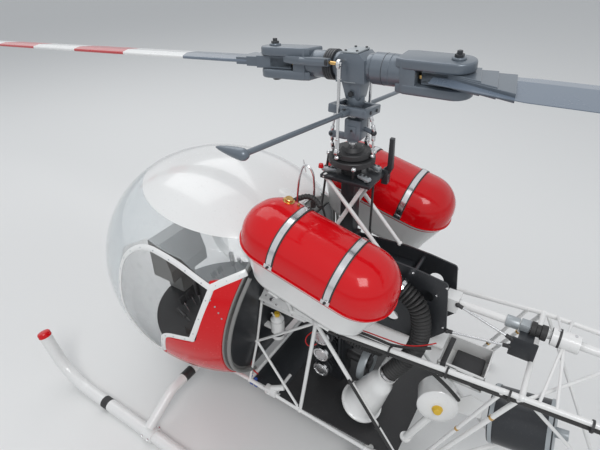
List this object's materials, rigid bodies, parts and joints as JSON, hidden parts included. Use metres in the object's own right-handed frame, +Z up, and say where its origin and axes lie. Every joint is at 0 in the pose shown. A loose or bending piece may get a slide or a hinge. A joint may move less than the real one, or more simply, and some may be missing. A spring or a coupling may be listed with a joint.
{
  "type": "quarter-scale model of an open-frame light helicopter",
  "caption": "Large-scale flying model of an open-frame light helicopter on skids, with a clear bubble cabin, two saddle fuel tanks and a seesaw rotor.",
  "frame": {"origin": "on the ground, under the main rotor mast", "axes": "+X aft along the tail boom, +Y to starboard, +Z up along the mast"},
  "size_m": [3.2454, 0.565, 0.7345],
  "materials": {
    "frame_white": "gloss white paint",
    "body_white": "gloss white",
    "body_red": "gloss red",
    "clear_plastic": "clear",
    "black_plastic": "matt black",
    "panel_grey": "satin grey",
    "bright_steel": "polished",
    "black_metal": "satin black",
    "black_rubber": "matt",
    "rotor_grey": "satin blue-grey"
  },
  "bodies": {
    "airframe": {"skid_left": "frame_white", "skid_right": "frame_white", "cross_tube_front": "frame_white", "cross_tube_rear": "frame_white", "frame_side_left": "frame_white", "frame_side_right": "frame_white", "frame_cross_members": "frame_white", "tail_boom": "frame_white", "bubble_canopy": "clear_plastic", "roof_shell": "body_white", "side_panel_left": "body_red", "side_panel_right": "body_red", "doorway_frames": "body_white", "cabin_floor": "black_plastic", "firewall": "panel_grey", "seat_bench": "black_plastic", "instrument_console": "panel_grey", "fuel_tank_left": "body_red", "fuel_tank_right": "body_red", "tank_straps": "bright_steel", "tank_cradles": "frame_white", "side_plates": "black_metal", "mast_tower": "black_metal", "tower_struts": "frame_white", "swashplate_lower": "black_plastic", "engine_block": "black_metal", "engine_deck": "black_plastic", "air_filter": "body_white", "intake_hose": "black_rubber", "cooling_fan": "black_plastic", "oil_tank": "body_white", "oil_bottle": "body_white", "muffler": "black_metal", "drive_bearings": "frame_white", "tail_gearbox": "panel_grey", "tail_guard": "frame_white", "ventral_fin": "body_red", "tail_stabiliser": "body_white"},
    "main_rotor": {"mast_shaft": "bright_steel", "hub_block": "rotor_grey", "blade_grips": "rotor_grey", "rotor_blade_aft": "rotor_grey", "rotor_blade_forward": "rotor_grey", "stabiliser_bar": "rotor_grey", "pitch_links": "bright_steel", "washout_block": "rotor_grey", "swashplate_upper": "black_plastic"},
    "tail_drive": {"tail_drive_shaft": "frame_white"},
    "tail_rotor": {"tail_rotor_hub": "rotor_grey", "tail_rotor_blades": "body_white"}
  },
  "joints": [
    {"name": "main_rotor_spin", "type": "hinge", "parent": "airframe", "child": "main_rotor", "pos_m": [0, 0, 0.585], "axis": [0, 0, 1], "continuous": true},
    {"name": "tail_drive_spin", "type": "hinge", "parent": "airframe", "child": "tail_drive", "pos_m": [0.3, 0, 0.38], "axis": [1, 0, 0], "continuous": true},
    {"name": "tail_rotor_spin", "type": "hinge", "parent": "airframe", "child": "tail_rotor", "pos_m": [1.687, 0.062, 0.388], "axis": [0, 1, 0], "continuous": true}
  ],
  "couplings": [
    {"joint": "tail_drive_spin", "follows": "main_rotor_spin", "ratio": 5},
    {"joint": "tail_rotor_spin", "follows": "main_rotor_spin", "ratio": 5}
  ]
}
